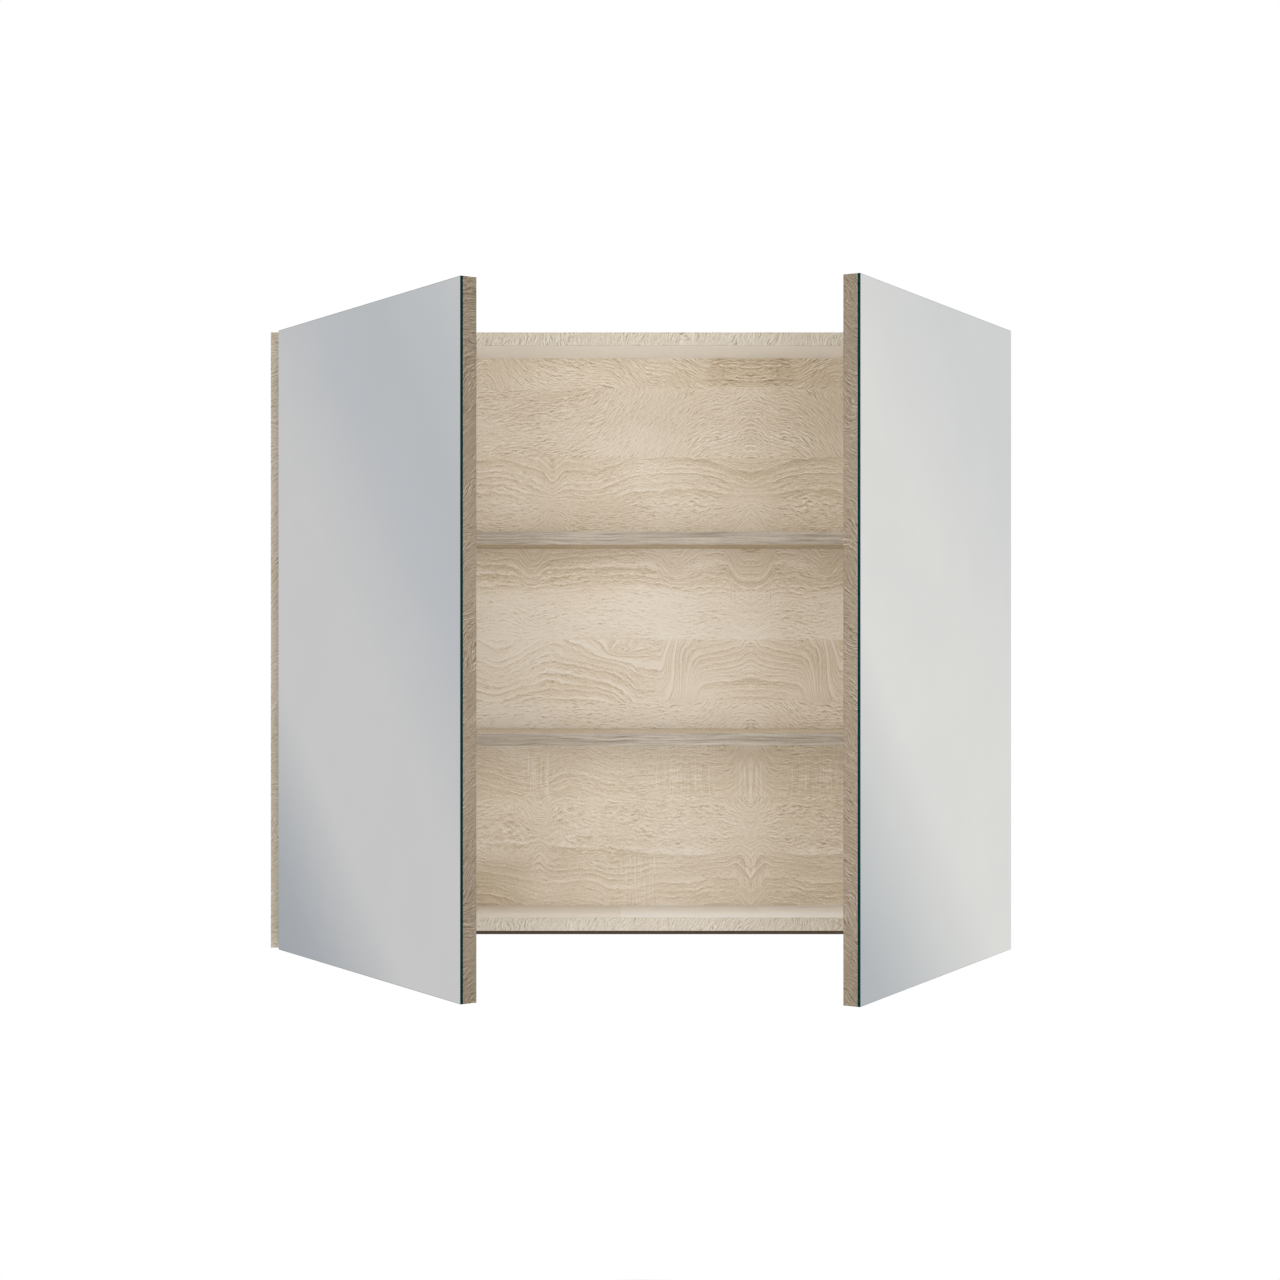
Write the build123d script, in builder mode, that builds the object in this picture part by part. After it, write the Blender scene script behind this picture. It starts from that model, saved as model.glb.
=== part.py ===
from build123d import *
from math import atan2, cos, degrees, hypot, radians, sin
import os

os.makedirs("parts", exist_ok=True)

# Mirror cabinet, millimetres. +X right, +Y to the wall, +Z up.
# Origin: midway between the two hanging eyes, on the wall plane Y = 0.

# ---------------------------------------------------------------- driving dimensions
WIDTH = 900.0            # outer width of the carcass
HEIGHT = 750.0           # outer height of the carcass
DEPTH = 128.0            # carcass depth, front edges to rear edges
BOARD = 16.0             # board thickness
BAND = 0.8               # edge banding thickness
TOP_Z = 60.0             # top of the carcass above the hanging eyes
BOTTOM_Z = TOP_Z - HEIGHT
RECESS = 20.5            # finger recess under the bottom board
BACK_T = 3.0             # back panel thickness
BACK_Y = -15.0           # front face of the back panel
GROOVE = 6.0             # depth of the back panel grooves
SHELF_Y0, SHELF_Y1 = -124.0, -16.0
SHELF_GAP = 0.5          # each end of a shelf
SHELF_UPPER_Z = -198.5   # underside of each shelf
SHELF_LOWER_Z = -444.0
PIN_R = 2.5              # shelf pin radius
PIN_PITCH = 32.0
PIN_ROWS = (-91.0, -37.0)
EYE_X, EYE_R = 420.0, 4.25
EYE_T = 2.0
DOWEL_Y = -72.0
CAM_Y = (-100.0, -44.0)
CAM_X = 34.0             # cam centre from the end of its board

DOOR_W = 447.5
DOOR_Z0, DOOR_Z1 = -688.5, 58.5
GLASS_T = 3.0
DOOR_T = GLASS_T + BOARD
HINGE_Z = (-41.5, -588.5)
CUP_A = 21.6             # cup centre from the hinge edge of the door
CUP_R, CUP_DEPTH, CUP_WALL = 17.5, 12.5, 0.8
FLANGE_T = 1.1
RIVET_R = 1.25           # hinge pins
EYE_CLEAR = 0.06         # radial running clearance of a link on its pins

# Hinge figures in a plane that serves both sides: x inwards from the outer
# side face, y from the front plane of the carcass, minus to the room.
# corner: mirror corner at the hinge edge, doors as drawn; angle: how far open;
# rate: turn of the link for one turn of the door.
HINGES = {
    -1: dict(name="left", corner=(13.5, -24.0), angle=55.65, rate=1.0,
             cup_pin=(9.6, 16.0),
             link=[(34.5, 2.5), (30.5, -1.5), (27.5, -5.2), (24.5, -8.6),
                   (21.5, -10.5), (14.2, -10.7), (11.9, -9.4)],
             arm=[(38.2, 13.5), (34.0, 21.5), (27.0, 31.0), (24.5, 35.5), (24.5, 71.0)]),
    1: dict(name="right", corner=(1.5, -21.5), angle=59.9, rate=0.6,
            cup_pin=(9.6, 18.0),
            link=[(35.5, 5.4), (31.5, 2.4), (27.5, -1.5), (24.2, -4.8),
                  (21.5, -6.0), (14.2, -6.1), (12.0, -4.9)],
            arm=[(43.4, 14.0), (38.0, 22.0), (28.0, 32.0), (24.5, 36.5), (24.5, 71.0)]),
}
SHUT_CORNER = (1.0, -21.0)

INNER_X = WIDTH / 2 - BOARD
BOTTOM_TOP_Z = BOTTOM_Z + RECESS + BOARD
TOP_MID = TOP_Z - BOARD / 2
BOTTOM_MID = BOTTOM_Z + RECESS + BOARD / 2


# ---------------------------------------------------------------- plane geometry
def turn(v, deg):
    c, s = cos(radians(deg)), sin(radians(deg))
    return (v[0] * c - v[1] * s, v[0] * s + v[1] * c)


def solve_hinge(h):
    """Fixed pin, shut and drawn places of the cup pin, from the two door places."""
    a, b = h["cup_pin"]
    m0 = (SHUT_CORNER[0] + a, SHUT_CORNER[1] + b)
    d = turn((a, b), -h["angle"])
    m1 = (h["corner"][0] + d[0], h["corner"][1] + d[1])
    al = radians(h["rate"] * h["angle"])
    # f = m0 + half the chord + perpendicular part of a turn by al
    cx, cy = (m0[0] + m1[0]) / 2, (m0[1] + m1[1]) / 2
    hx, hy = (m1[0] - m0[0]) / 2, (m1[1] - m0[1]) / 2
    t = cos(al / 2) / sin(al / 2)
    f = (cx - hy * t, cy + hx * t)
    return f, m0, m1


for _h in HINGES.values():
    _h["fixed"], _h["shut_pin"], _h["open_pin"] = solve_hinge(_h)


def flat(side, p):
    """Hinge figure point to X, Y of the cabinet."""
    return (side * (WIDTH / 2 - p[0]), -DEPTH + p[1])


def door_axes(side):
    h = HINGES[side]
    a = turn((1, 0), -h["angle"])
    b = turn((0, 1), -h["angle"])
    return (-side * a[0], a[1]), (-side * b[0], b[1])


def on_door(side, a, b):
    (ax, ay), (bx, by) = door_axes(side)
    ox, oy = flat(side, HINGES[side]["corner"])
    return (ox + a * ax + b * bx, oy + a * ay + b * by)


def door_plane(side, b):
    """Sketch plane parallel to the mirror at depth b; local x is -side * a, local y is Z.
    A negative extrusion runs to the back of the door."""
    (ax, ay), (bx, by) = door_axes(side)
    x, y = on_door(side, 0, b)
    return Plane(origin=(x, y, 0), x_dir=(-side * ax, -side * ay, 0), z_dir=(-bx, -by, 0))


def turned_link(side, p):
    h = HINGES[side]
    f = h["fixed"]
    d = turn((p[0] - f[0], p[1] - f[1]), h["rate"] * h["angle"])
    return (f[0] + d[0], f[1] + d[1])


def side_plane(side, x):
    """Sketch plane across X at x from the middle; local x is Y, local y is Z."""
    return Plane(origin=(side * x, 0, 0), x_dir=(0, 1, 0), z_dir=(1, 0, 0))


def band(points, r):
    """A rounded strip of half width r along a line of points."""
    for (x0, y0), (x1, y1) in zip(points, points[1:]):
        with Locations(Location(((x0 + x1) / 2, (y0 + y1) / 2, 0), (0, 0, degrees(atan2(y1 - y0, x1 - x0))))):
            SlotCenterToCenter(hypot(x1 - x0, y1 - y0), 2 * r)


def save(built, name):
    built.part.label = name
    export_step(built.part, "parts/" + name + ".step")


# ---------------------------------------------------------------- carcass boards
def side_panel(side):
    with BuildPart() as panel:
        with BuildSketch(Plane.XY.offset(BOTTOM_Z)):
            with Locations((side * (WIDTH / 2 - BOARD / 2), (-DEPTH + BAND) / 2)):
                Rectangle(BOARD, DEPTH - BAND)
        extrude(amount=HEIGHT)
        # groove for the back panel
        with BuildSketch(Plane.XY.offset(BOTTOM_Z)):
            with Locations((side * (INNER_X + GROOVE / 2), BACK_Y + BACK_T / 2)):
                Rectangle(GROOVE, BACK_T + 0.2)
        extrude(amount=TOP_Z - BOARD + GROOVE - BOTTOM_Z, mode=Mode.SUBTRACT)
        # bores for dowels
        with BuildSketch(side_plane(side, INNER_X)):
            with Locations((DOWEL_Y, TOP_MID), (DOWEL_Y, BOTTOM_MID)):
                Circle(4.05)
        extrude(amount=side * 10.5, mode=Mode.SUBTRACT)
        # bores for cam bolts, shelf pins and hinge plate screws
        with BuildSketch(side_plane(side, INNER_X)):
            with Locations(*[(y, z) for y in CAM_Y for z in (TOP_MID, BOTTOM_MID)]):
                Circle(2.55)
            with Locations(*[(y, z - PIN_R + k * PIN_PITCH) for y in PIN_ROWS
                             for z in (SHELF_UPPER_Z, SHELF_LOWER_Z) for k in (-1, 0, 1)]):
                Circle(PIN_R + 0.05)
            with Locations(*[(-DEPTH + 37.0, z + d) for z in HINGE_Z for d in (-16, 16)]):
                Circle(2.55)
        extrude(amount=side * 11.5, mode=Mode.SUBTRACT)
        # recess for the hanging eye plate in the rear edge, and its screw bores
        with BuildSketch(Plane.XZ):
            with Locations((side * (INNER_X + 7.5), 0)):
                Rectangle(15.0, 44.0)
        extrude(amount=EYE_T, mode=Mode.SUBTRACT)
        with BuildSketch(Plane.XZ):
            with Locations((side * 442.0, -14), (side * 442.0, 14)):
                Circle(1.55)
        extrude(amount=20.0, mode=Mode.SUBTRACT)
    return panel


left_side_panel = side_panel(-1)
save(left_side_panel, "left_side_panel")
right_side_panel = side_panel(1)
save(right_side_panel, "right_side_panel")

with BuildPart() as top_panel:
    with BuildSketch(Plane.XY.offset(TOP_Z - BOARD)):
        with Locations((0, (-DEPTH + BAND) / 2)):
            Rectangle(2 * INNER_X, DEPTH - BAND)
    extrude(amount=BOARD)
    with BuildSketch(Plane.XY.offset(TOP_Z - BOARD)):
        with Locations((0, BACK_Y + BACK_T / 2)):
            Rectangle(2 * INNER_X, BACK_T + 0.2)
    extrude(amount=GROOVE, mode=Mode.SUBTRACT)
    for side in (-1, 1):
        with BuildSketch(side_plane(side, INNER_X)):
            with Locations((DOWEL_Y, TOP_MID)):
                Circle(4.05)
        extrude(amount=-side * 20.5, mode=Mode.SUBTRACT)
        with BuildSketch(side_plane(side, INNER_X)):
            with Locations(*[(y, TOP_MID) for y in CAM_Y]):
                Circle(4.05)
        extrude(amount=-side * CAM_X, mode=Mode.SUBTRACT)
        with BuildSketch(Plane.XY.offset(TOP_Z)):
            with Locations(*[(side * (INNER_X - CAM_X), y) for y in CAM_Y]):
                Circle(7.55)
        extrude(amount=-12.6, mode=Mode.SUBTRACT)
save(top_panel, "top_panel")

with BuildPart() as bottom_panel:
    with BuildSketch(Plane.XY.offset(BOTTOM_Z + RECESS)):
        with Locations((0, (-DEPTH + BAND + BACK_Y - 0.15) / 2)):
            Rectangle(2 * INNER_X, DEPTH - BAND + BACK_Y - 0.15)
    extrude(amount=BOARD)
    for side in (-1, 1):
        with BuildSketch(side_plane(side, INNER_X)):
            with Locations((DOWEL_Y, BOTTOM_MID)):
                Circle(4.05)
        extrude(amount=-side * 20.5, mode=Mode.SUBTRACT)
        with BuildSketch(side_plane(side, INNER_X)):
            with Locations(*[(y, BOTTOM_MID) for y in CAM_Y]):
                Circle(4.05)
        extrude(amount=-side * CAM_X, mode=Mode.SUBTRACT)
        with BuildSketch(Plane.XY.offset(BOTTOM_Z + RECESS)):
            with Locations(*[(side * (INNER_X - CAM_X), y) for y in CAM_Y]):
                Circle(7.55)
        extrude(amount=12.6, mode=Mode.SUBTRACT)
save(bottom_panel, "bottom_panel")

with BuildPart() as back_panel:
    with BuildSketch(Plane.XY.offset(BOTTOM_Z)):
        with Locations((0, BACK_Y + BACK_T / 2)):
            Rectangle(2 * (INNER_X + GROOVE - 0.3), BACK_T)
    extrude(amount=TOP_Z - BOARD + GROOVE - 0.3 - BOTTOM_Z)
save(back_panel, "back_panel")


def shelf(z):
    with BuildPart() as board:
        with BuildSketch(Plane.XY.offset(z)):
            with Locations((0, (SHELF_Y0 + BAND + SHELF_Y1) / 2)):
                Rectangle(2 * (INNER_X - SHELF_GAP), SHELF_Y1 - SHELF_Y0 - BAND)
        extrude(amount=BOARD)
    return board


shelf_upper = shelf(SHELF_UPPER_Z)
save(shelf_upper, "shelf_upper")
shelf_lower = shelf(SHELF_LOWER_Z)
save(shelf_lower, "shelf_lower")


# ---------------------------------------------------------------- edge banding
def side_band(side):
    with BuildPart() as strip:
        with BuildSketch(Plane.XY.offset(BOTTOM_Z)):
            with Locations((side * (WIDTH / 2 - BOARD / 2), -DEPTH + BAND / 2)):
                Rectangle(BOARD, BAND)
        extrude(amount=HEIGHT)
        fillet(strip.edges().filter_by(Axis.Z).group_by(Axis.Y)[0], radius=0.45)
    return strip


left_side_band = side_band(-1)
save(left_side_band, "left_side_edge_band")
right_side_band = side_band(1)
save(right_side_band, "right_side_edge_band")


def cross_band(z, half, y):
    with BuildPart() as strip:
        with BuildSketch(Plane.XY.offset(z)):
            with Locations((0, y + BAND / 2)):
                Rectangle(2 * half, BAND)
        extrude(amount=BOARD)
        fillet(strip.edges().filter_by(Axis.X).group_by(Axis.Y)[0], radius=0.45)
    return strip


top_band = cross_band(TOP_Z - BOARD, INNER_X, -DEPTH)
save(top_band, "top_edge_band")
bottom_band = cross_band(BOTTOM_Z + RECESS, INNER_X, -DEPTH)
save(bottom_band, "bottom_edge_band")
shelf_upper_band = cross_band(SHELF_UPPER_Z, INNER_X - SHELF_GAP, SHELF_Y0)
save(shelf_upper_band, "shelf_upper_edge_band")
shelf_lower_band = cross_band(SHELF_LOWER_Z, INNER_X - SHELF_GAP, SHELF_Y0)
save(shelf_lower_band, "shelf_lower_edge_band")


# ---------------------------------------------------------------- shelf pins
def shelf_pins(z):
    """Four pins under one shelf: a peg in the side, a collar and a peg under the shelf."""
    with BuildPart() as pins:
        for side in (-1, 1):
            with BuildSketch(side_plane(side, INNER_X + 9.5)):
                with Locations(*[(y, z - PIN_R) for y in PIN_ROWS]):
                    Circle(PIN_R)
            extrude(amount=-side * 17.5)
            with BuildSketch(side_plane(side, INNER_X)):
                with Locations(*[(y, z - PIN_R - 1.4) for y in PIN_ROWS]):
                    Circle(3.6)
            extrude(amount=-side * 0.4)
    return pins


pins_upper = shelf_pins(SHELF_UPPER_Z)
save(pins_upper, "shelf_pins_upper")
pins_lower = shelf_pins(SHELF_LOWER_Z)
save(pins_lower, "shelf_pins_lower")

# ---------------------------------------------------------------- corner joints of the carcass
with BuildPart() as dowels:
    for side in (-1, 1):
        with BuildSketch(side_plane(side, INNER_X + 10.0)):
            with Locations((DOWEL_Y, TOP_MID), (DOWEL_Y, BOTTOM_MID)):
                Circle(4.0)
        extrude(amount=-side * 30.0)
    chamfer(dowels.edges().filter_by(GeomType.CIRCLE), length=0.8)
save(dowels, "wood_dowels")

with BuildPart() as cam_bolts:
    for side in (-1, 1):
        for z in (TOP_MID, BOTTOM_MID):
            for start, radius, length in ((11.0, 2.5, 11.0), (0.0, 3.7, 2.0), (-2.0, 3.0, 29.0), (-31.0, 3.5, 4.0)):
                with BuildSketch(side_plane(side, INNER_X + start)):
                    with Locations(*[(y, z) for y in CAM_Y]):
                        Circle(radius)
                extrude(amount=-side * length)
save(cam_bolts, "cam_bolts")

with BuildPart() as cam_housings:
    for z, up in ((TOP_MID, 1), (BOTTOM_MID, -1)):
        for side in (-1, 1):
            with BuildSketch(Plane.XY.offset(z - up * 4.5)):
                with Locations(*[(side * (INNER_X - CAM_X), y) for y in CAM_Y]):
                    Circle(7.45)
            extrude(amount=up * 11.4)
    for z in (TOP_MID, BOTTOM_MID):
        for side in (-1, 1):
            with BuildSketch(side_plane(side, INNER_X - CAM_X + 9.0)):
                with Locations(*[(y, z) for y in CAM_Y]):
                    Circle(3.85)
            extrude(amount=-side * 13.0, mode=Mode.SUBTRACT)
save(cam_housings, "cam_housings")

with BuildPart() as cam_caps:
    for z, up in ((TOP_MID, 1), (BOTTOM_MID, -1)):
        for side in (-1, 1):
            with BuildSketch(Plane.XY.offset(z + up * 7.0)):
                with Locations(*[(side * (INNER_X - CAM_X), y) for y in CAM_Y]):
                    Circle(7.45)
            extrude(amount=up * 1.0)
save(cam_caps, "cam_cover_caps")

# ---------------------------------------------------------------- hanging eyes
with BuildPart() as eye_plates:
    for side in (-1, 1):
        with BuildSketch(Plane.XZ):
            with Locations((side * (INNER_X + 7.4), 0)):
                RectangleRounded(14.4, 43.4, 2.0)
            with Locations((side * 430.0, 0)):
                Rectangle(20.0, 22.0)
            with Locations((side * EYE_X, 0)):
                Circle(11.0)
            with Locations((side * EYE_X, 0)):
                Circle(EYE_R, mode=Mode.SUBTRACT)
            with Locations((side * 442.0, -14), (side * 442.0, 14)):
                Circle(1.65, mode=Mode.SUBTRACT)
        extrude(amount=EYE_T)
        with BuildSketch(Plane.XZ):
            with Locations((side * 442.0, -14), (side * 442.0, 14)):
                Circle(3.3)
        extrude(amount=1.1, mode=Mode.SUBTRACT)
save(eye_plates, "hanging_eye_plates")

with BuildPart() as eye_screws:
    for side in (-1, 1):
        with BuildSketch(Plane.XZ.offset(0.1)):
            with Locations((side * 442.0, -14), (side * 442.0, 14)):
                Circle(3.2)
        extrude(amount=0.95)
        with BuildSketch(Plane.XZ.offset(1.0)):
            with Locations((side * 442.0, -14), (side * 442.0, 14)):
                Circle(1.5)
        extrude(amount=17.0)
        with BuildSketch(Plane.XZ.offset(0.1)):
            with Locations((side * 442.0, -14), (side * 442.0, 14)):
                Rectangle(3.6, 0.8)
                Rectangle(0.8, 3.6)
        extrude(amount=0.6, mode=Mode.SUBTRACT)
save(eye_screws, "hanging_eye_screws")


# ---------------------------------------------------------------- hinges, parts on the carcass
def hinge_plates(side):
    with BuildPart() as plates:
        with BuildSketch(side_plane(side, INNER_X)):
            for z in HINGE_Z:
                with Locations((-DEPTH + 48.0, z)):
                    RectangleRounded(52.0, 17.0, 4.0)
                with Locations((-DEPTH + 37.0, z)):
                    RectangleRounded(15.0, 52.0, 5.0)
        extrude(amount=-side * 2.5)
        with BuildSketch(side_plane(side, INNER_X - 2.5)):
            for z in HINGE_Z:
                with Locations((-DEPTH + 49.0, z)):
                    RectangleRounded(46.0, 10.4, 2.0)
        extrude(amount=-side * 2.6)
        with BuildSketch(side_plane(side, INNER_X)):
            with Locations(*[(-DEPTH + 37.0, z + d) for z in HINGE_Z for d in (-16, 16)]):
                Circle(2.6)
            with Locations(*[(-DEPTH + 60.0, z) for z in HINGE_Z]):
                Circle(2.1)
        extrude(amount=-side * 6.0, mode=Mode.SUBTRACT)
    return plates


def plate_screws(side):
    with BuildPart() as screws:
        spots = [(-DEPTH + 37.0, z + d) for z in HINGE_Z for d in (-16, 16)]
        with BuildSketch(side_plane(side, INNER_X + 11.0)):
            with Locations(*spots):
                Circle(2.5)
        extrude(amount=-side * 13.5)
        with BuildSketch(side_plane(side, INNER_X - 2.5)):
            with Locations(*spots):
                Circle(4.4)
        extrude(amount=-side * 2.0)
        fillet(screws.edges().filter_by(GeomType.CIRCLE).group_by(Axis.X)[0 if side > 0 else -1], radius=0.9)
        with BuildSketch(side_plane(side, INNER_X - 4.5)):
            with Locations(*spots):
                Rectangle(4.6, 1.0)
                Rectangle(1.0, 4.6)
        extrude(amount=side * 1.2, mode=Mode.SUBTRACT)
    return screws


def hinge_arms(side):
    h = HINGES[side]
    line = [flat(side, p) for p in [h["fixed"]] + h["arm"]]
    with BuildPart() as arms:
        for z in HINGE_Z:
            with BuildSketch(Plane.XY.offset(z - 4.6)):
                band(line, 3.4)
                with Locations(line[0]):
                    Circle(RIVET_R + 0.02, mode=Mode.SUBTRACT)
            extrude(amount=9.2)
        with BuildSketch(side_plane(side, INNER_X)):
            with Locations(*[(-DEPTH + 60.0, z) for z in HINGE_Z]):
                Circle(2.15)
            with Locations(*[(-DEPTH + 44.0, z) for z in HINGE_Z]):
                Circle(2.55)
        extrude(amount=-side * 20.0, mode=Mode.SUBTRACT)
        # shallow channel along the outer face of the straight part
        with BuildSketch(side_plane(side, INNER_X - 12.4)):
            for z in HINGE_Z:
                with Locations((-DEPTH + 53.0, z)):
                    SlotCenterToCenter(32.0, 6.4)
        extrude(amount=side * 1.0, mode=Mode.SUBTRACT)
    return arms


def arm_screws(side):
    with BuildPart() as screws:
        with BuildSketch(side_plane(side, INNER_X - 0.6)):
            with Locations(*[(-DEPTH + 60.0, z) for z in HINGE_Z]):
                Circle(2.0)
        extrude(amount=-side * 11.0)
        with BuildSketch(side_plane(side, INNER_X - 11.4)):
            with Locations(*[(-DEPTH + 60.0, z) for z in HINGE_Z]):
                Circle(3.0)
        extrude(amount=-side * 2.0)
        with BuildSketch(side_plane(side, INNER_X - 5.1)):
            with Locations(*[(-DEPTH + 44.0, z) for z in HINGE_Z]):
                Circle(2.5)
        extrude(amount=-side * 7.8)
        for y, depth in ((60.0, 13.4), (44.0, 12.9)):
            with BuildSketch(side_plane(side, INNER_X - depth)):
                with Locations(*[(-DEPTH + y, z) for z in HINGE_Z]):
                    Rectangle(3.4, 0.8)
                    Rectangle(0.8, 3.4)
            extrude(amount=side * 1.0, mode=Mode.SUBTRACT)
    return screws


def arm_pins(side):
    x, y = flat(side, HINGES[side]["fixed"])
    with BuildPart() as pins:
        for z in HINGE_Z:
            with BuildSketch(Plane.XY.offset(z - 7.0)):
                with Locations((x, y)):
                    Circle(RIVET_R)
            extrude(amount=14.0)
        chamfer(pins.edges().filter_by(GeomType.CIRCLE), length=0.3)
    return pins


# ---------------------------------------------------------------- hinges, links between carcass and door
def hinge_links(side):
    h = HINGES[side]
    shut = [h["fixed"]] + h["link"] + [h["shut_pin"]]
    line = [flat(side, turned_link(side, p)) for p in shut]
    with BuildPart() as links:
        for z in HINGE_Z:
            for low in (z - 6.2, z + 5.0):
                with BuildSketch(Plane.XY.offset(low)):
                    band(line, 1.5)
                    with Locations(line[0]):
                        Circle(3.0)
                    with Locations(line[-1]):
                        Circle(2.6)
                    with Locations(line[0], line[-1]):
                        Circle(RIVET_R + EYE_CLEAR, mode=Mode.SUBTRACT)
                extrude(amount=1.2)
            with BuildSketch(Plane.XY.offset(z - 5.0)):
                band(line[2:7], 0.7)
            extrude(amount=10.0)
    return links


# ---------------------------------------------------------------- doors
def door_board(side):
    a_mid = -side * DOOR_W / 2
    z_mid = (DOOR_Z0 + DOOR_Z1) / 2
    with BuildPart() as board:
        with BuildSketch(door_plane(side, GLASS_T)):
            with Locations((a_mid, z_mid)):
                Rectangle(DOOR_W - 2 * BAND, DOOR_Z1 - DOOR_Z0 - 2 * BAND)
        extrude(amount=-BOARD)
        # cup pockets
        with BuildSketch(door_plane(side, DOOR_T)):
            with Locations(*[(-side * CUP_A, z) for z in HINGE_Z]):
                Circle(CUP_R + 0.05)
        extrude(amount=CUP_DEPTH + 0.1, mode=Mode.SUBTRACT)
        # cup screw bores
        with BuildSketch(door_plane(side, DOOR_T)):
            with Locations(*[(-side * (CUP_A + 9.5), z + d) for z in HINGE_Z for d in (-24, 24)]):
                Circle(1.8)
        extrude(amount=12.0, mode=Mode.SUBTRACT)
    return board


def door_band(side):
    a_mid = -side * DOOR_W / 2
    z_mid = (DOOR_Z0 + DOOR_Z1) / 2
    with BuildPart() as ring:
        with BuildSketch(door_plane(side, GLASS_T)):
            with Locations((a_mid, z_mid)):
                Rectangle(DOOR_W, DOOR_Z1 - DOOR_Z0)
                Rectangle(DOOR_W - 2 * BAND, DOOR_Z1 - DOOR_Z0 - 2 * BAND, mode=Mode.SUBTRACT)
        extrude(amount=-BOARD)
        rim = ring.faces().sort_by(Axis((0, 0, 0), tuple(-v for v in door_plane(side, 0).z_dir)))[-1]
        fillet(rim.outer_wire().edges(), radius=0.45)
    return ring


def mirror_pane(side):
    a_mid = -side * DOOR_W / 2
    z_mid = (DOOR_Z0 + DOOR_Z1) / 2
    with BuildPart() as pane:
        with BuildSketch(door_plane(side, 0)):
            with Locations((a_mid, z_mid)):
                Rectangle(DOOR_W, DOOR_Z1 - DOOR_Z0)
        extrude(amount=-GLASS_T)
        face = pane.faces().sort_by(Axis((0, 0, 0), tuple(door_plane(side, 0).z_dir)))[-1]
        chamfer(face.edges(), length=0.5)
    return pane


def hinge_cups(side):
    with BuildPart() as cups:
        with BuildSketch(door_plane(side, DOOR_T)):
            with Locations(*[(-side * CUP_A, z) for z in HINGE_Z]):
                Circle(CUP_R)
        extrude(amount=CUP_DEPTH)
        with BuildSketch(door_plane(side, DOOR_T)):
            for z in HINGE_Z:
                with Locations((-side * CUP_A, z)):
                    Circle(19.5)
                with Locations((-side * (CUP_A + 9.5), z)):
                    RectangleRounded(13.0, 60.0, 6.0)
            for z in HINGE_Z:
                with Locations((side * 4.0, z)):
                    Rectangle(20.0, 70.0, mode=Mode.SUBTRACT)
        extrude(amount=-FLANGE_T)
        with BuildSketch(door_plane(side, DOOR_T + FLANGE_T)):
            with Locations(*[(-side * CUP_A, z) for z in HINGE_Z]):
                Circle(CUP_R - CUP_WALL)
        extrude(amount=CUP_DEPTH + FLANGE_T - CUP_WALL, mode=Mode.SUBTRACT)
        # slot in the rim where the link passes
        with BuildSketch(door_plane(side, DOOR_T + FLANGE_T)):
            with Locations(*[(-side * 4.5, z) for z in HINGE_Z]):
                Rectangle(6.0, 14.8)
        extrude(amount=2.6, mode=Mode.SUBTRACT)
        # seats of the pins that the links turn on
        x, y = on_door(side, *HINGES[side]["cup_pin"])
        for z in HINGE_Z:
            with BuildSketch(Plane.XY.offset(z - 13.2)):
                with Locations((x, y)):
                    Circle(RIVET_R + 0.02)
            extrude(amount=26.4, mode=Mode.SUBTRACT)
        # screw holes with countersinks in the ears
        spots = [(-side * (CUP_A + 9.5), z + d) for z in HINGE_Z for d in (-24, 24)]
        with BuildSketch(door_plane(side, DOOR_T + FLANGE_T)):
            with Locations(*spots):
                Circle(1.85)
        extrude(amount=FLANGE_T, mode=Mode.SUBTRACT)
        with BuildSketch(door_plane(side, DOOR_T + FLANGE_T)):
            with Locations(*spots):
                Circle(3.35)
        extrude(amount=0.65, mode=Mode.SUBTRACT)
    return cups


def cup_pins(side):
    x, y = on_door(side, *HINGES[side]["cup_pin"])
    with BuildPart() as pins:
        for z in HINGE_Z:
            with BuildSketch(Plane.XY.offset(z - 11.3)):
                with Locations((x, y)):
                    Circle(RIVET_R)
            extrude(amount=22.6)
    return pins


def cup_screws(side):
    spots = [(-side * (CUP_A + 9.5), z + d) for z in HINGE_Z for d in (-24, 24)]
    with BuildPart() as screws:
        with BuildSketch(door_plane(side, DOOR_T + FLANGE_T)):
            with Locations(*spots):
                Circle(3.25)
        extrude(amount=0.6)
        with BuildSketch(door_plane(side, DOOR_T + FLANGE_T - 0.6)):
            with Locations(*spots):
                Circle(1.75)
        extrude(amount=11.5)
        with BuildSketch(door_plane(side, DOOR_T + FLANGE_T)):
            with Locations(*spots):
                Rectangle(3.4, 0.8)
                Rectangle(0.8, 3.4)
        extrude(amount=0.4, mode=Mode.SUBTRACT)
    return screws


def door_buffers(side):
    with BuildPart() as pads:
        with BuildSketch(door_plane(side, DOOR_T)):
            with Locations((-side * (DOOR_W - 15.0), TOP_MID), (-side * (DOOR_W - 15.0), BOTTOM_MID)):
                Circle(4.0)
        extrude(amount=-1.5)
        tops = pads.edges().filter_by(GeomType.CIRCLE).group_by(Axis((0, 0, 0), tuple(-v for v in door_plane(side, 0).z_dir)))[-1]
        fillet(tops, radius=0.6)
    return pads


for side, word in ((-1, "left"), (1, "right")):
    save(hinge_plates(side), word + "_hinge_plates")
    save(plate_screws(side), word + "_hinge_plate_screws")
    save(hinge_arms(side), word + "_hinge_arms")
    save(arm_screws(side), word + "_hinge_arm_screws")
    save(arm_pins(side), word + "_hinge_arm_pins")
    save(hinge_links(side), word + "_hinge_links")
    save(door_board(side), word + "_door_board")
    save(door_band(side), word + "_door_edge_band")
    save(mirror_pane(side), word + "_mirror")
    save(hinge_cups(side), word + "_hinge_cups")
    save(cup_pins(side), word + "_hinge_cup_pins")
    save(cup_screws(side), word + "_hinge_cup_screws")
    save(door_buffers(side), word + "_door_buffers")
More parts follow.
